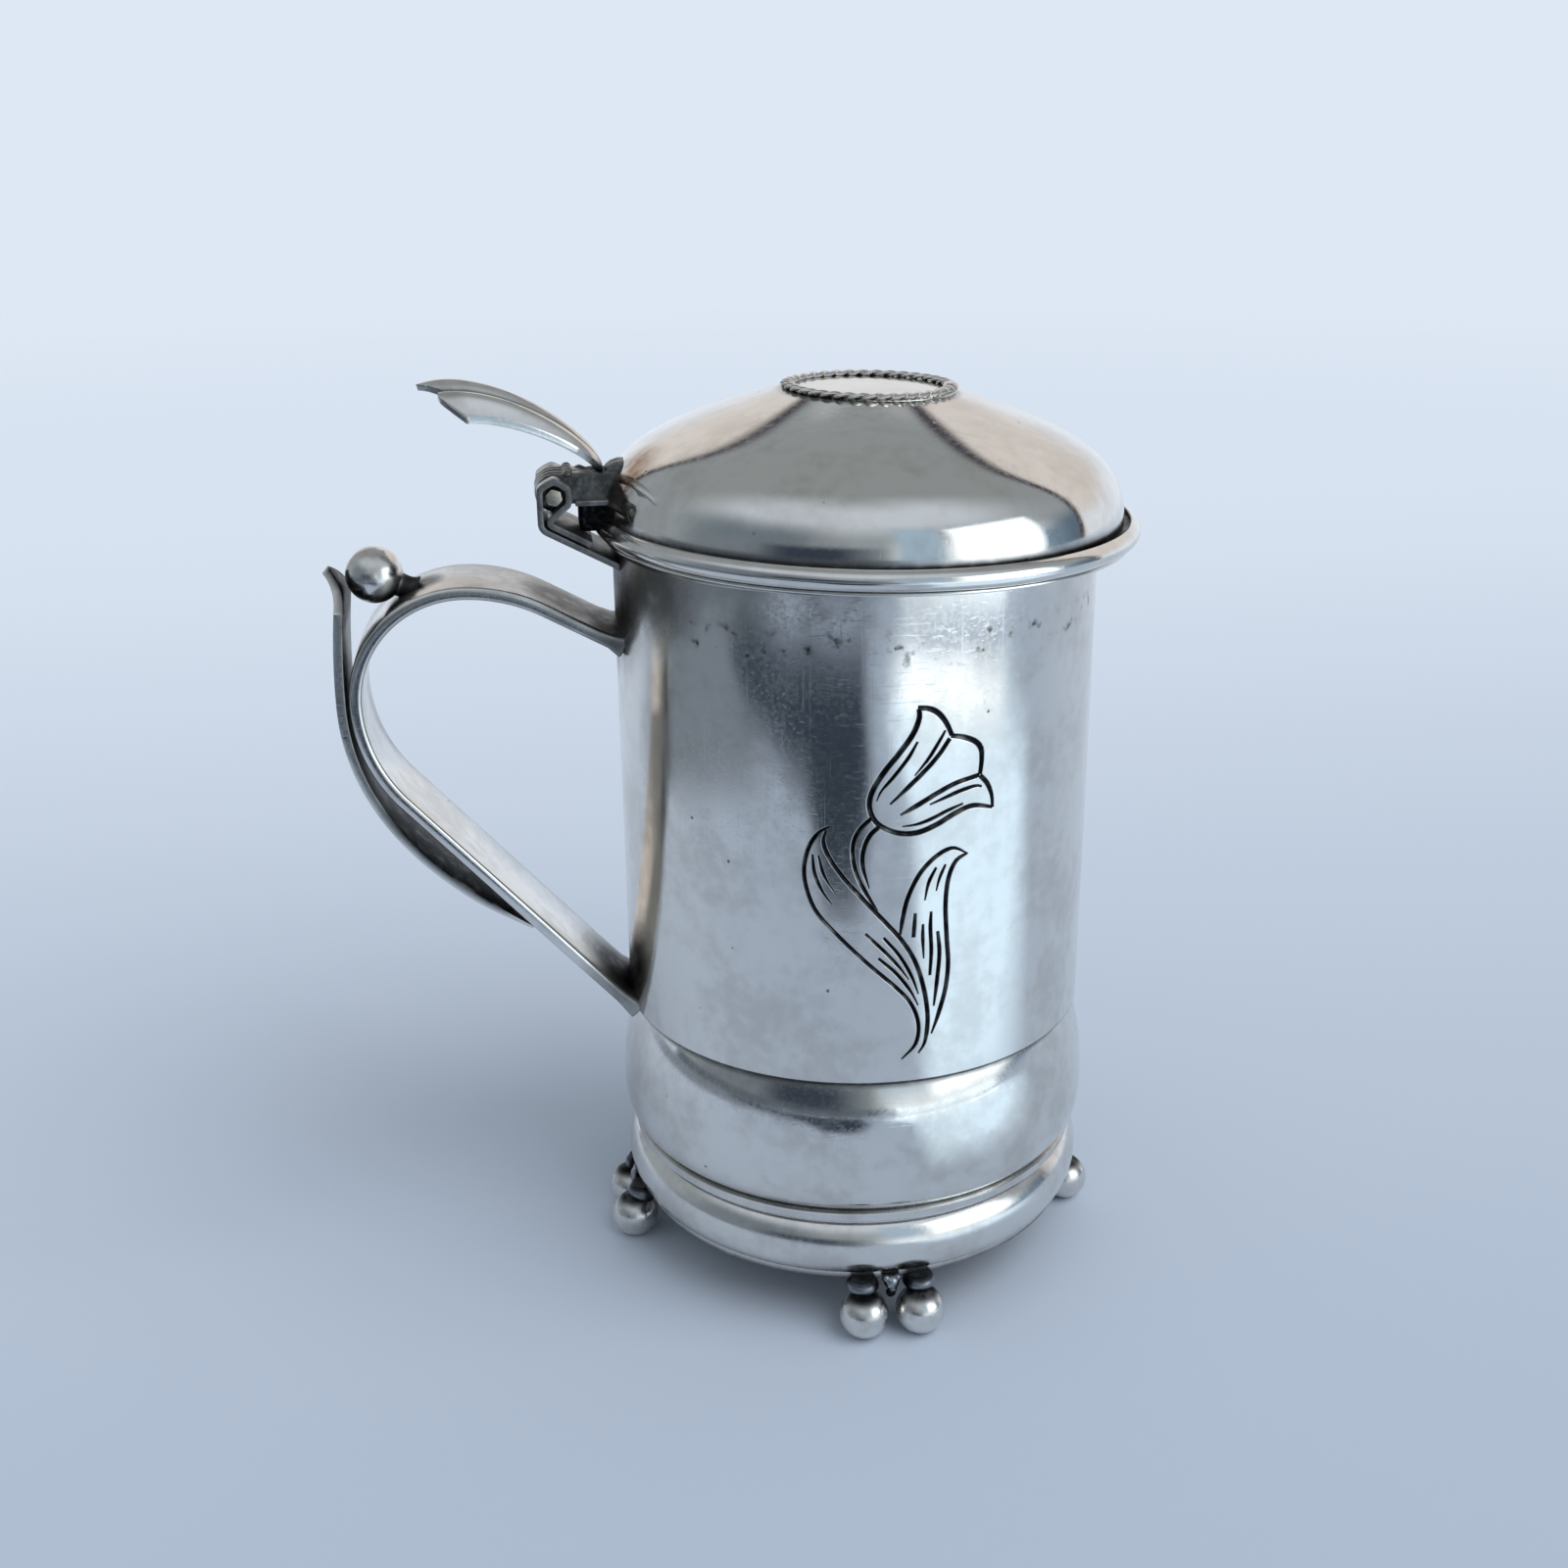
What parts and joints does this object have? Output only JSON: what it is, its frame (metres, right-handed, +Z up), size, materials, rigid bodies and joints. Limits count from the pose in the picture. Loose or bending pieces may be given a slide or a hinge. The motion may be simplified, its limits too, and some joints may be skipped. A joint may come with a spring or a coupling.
{
  "type": "lidded tankard",
  "caption": "Small lidded silver tankard: plain cylindrical body on ball feet, ear-shaped strap handle with a ball, domed lid on a side hinge with a fluted thumbpiece.",
  "frame": {"origin": "on the table, under the middle of the bounding box", "axes": "+Z up; the handle points to -X; the lid's hinge axis lies along Y; the engraved side faces -Y"},
  "size_m": [0.0868, 0.0584, 0.1012],
  "materials": {
    "polished_silver": "gloss",
    "oxidised_silver": "satin"
  },
  "bodies": {
    "body": {"ball_handle_left": "polished_silver", "ball_handle_right": "polished_silver", "ball_front_left": "polished_silver", "ball_front_right": "polished_silver", "ball_far_left": "polished_silver", "ball_far_right": "polished_silver", "ball_back_left": "polished_silver", "ball_back_right": "polished_silver", "bead_handle_left": "oxidised_silver", "bead_handle_right": "oxidised_silver", "bead_front_left": "oxidised_silver", "bead_front_right": "oxidised_silver", "bead_far_left": "oxidised_silver", "bead_far_right": "oxidised_silver", "bead_back_left": "oxidised_silver", "bead_back_right": "oxidised_silver", "granule_handle": "oxidised_silver", "granule_front": "oxidised_silver", "granule_far": "oxidised_silver", "granule_back": "oxidised_silver", "body_barrel": "polished_silver", "lower_band": "polished_silver", "foot_ring": "polished_silver", "base_plate": "polished_silver", "handle_strap": "polished_silver", "handle_leaf": "polished_silver", "handle_ball": "polished_silver", "ball_seat": "oxidised_silver", "body_hinge_leaf": "oxidised_silver", "hinge_pin": "oxidised_silver"},
    "lid": {"lid_dome": "polished_silver", "lid_rim": "polished_silver", "lid_seat_ring": "polished_silver", "lid_bezel": "polished_silver", "rope_ring": "oxidised_silver", "lid_hinge_leaf": "oxidised_silver", "thumbpiece": "polished_silver"}
  },
  "joints": [
    {"name": "lid_hinge", "type": "hinge", "parent": "body", "child": "lid", "pos_m": [-0.01887, 0, 0.08955], "axis": [0, -1, 0], "range_deg": [0, 70]}
  ]
}
